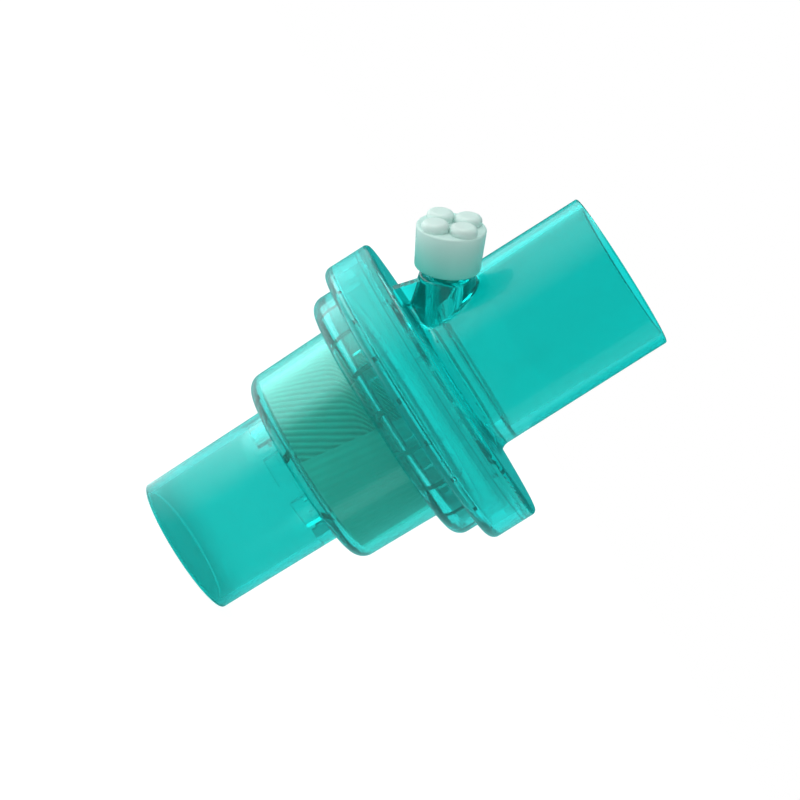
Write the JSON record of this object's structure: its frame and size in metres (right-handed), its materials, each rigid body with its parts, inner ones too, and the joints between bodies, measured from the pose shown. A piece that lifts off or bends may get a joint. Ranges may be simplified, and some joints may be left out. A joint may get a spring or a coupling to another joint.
{
  "type": "breathing circuit filter",
  "caption": "Clear teal breathing filter with a wound moisture exchanger, a 22 mm cone, a 22 mm socket and a capped sampling port.",
  "frame": {"origin": "centre of the patient cone's end face, where the filter stands", "axes": "+Z along the flow axis from the patient end to the machine end; the sampling port leans out between +X and +Y"},
  "size_m": [0.048, 0.048, 0.0784],
  "materials": {
    "clear_teal_patient_side": "clear teal moulded plastic, gloss",
    "clear_teal_machine_side": "clear teal moulded plastic, gloss",
    "exchanger_paper": "wound corrugated paper, matt off-white",
    "filter_felt": "white nonwoven filter felt",
    "milky_cap": "milky translucent moulded plastic, satin"
  },
  "bodies": {
    "filter": {"patient_side_housing": "clear_teal_patient_side", "machine_side_housing": "clear_teal_machine_side", "exchanger_roll": "exchanger_paper", "filter_membrane": "filter_felt"},
    "cap": {"luer_cap": "milky_cap"}
  },
  "joints": [
    {"name": "cap_lift", "type": "slide", "parent": "filter", "child": "cap", "axis": [0.5792, 0.5792, 0.5736], "range_m": [0, 0.012]}
  ]
}
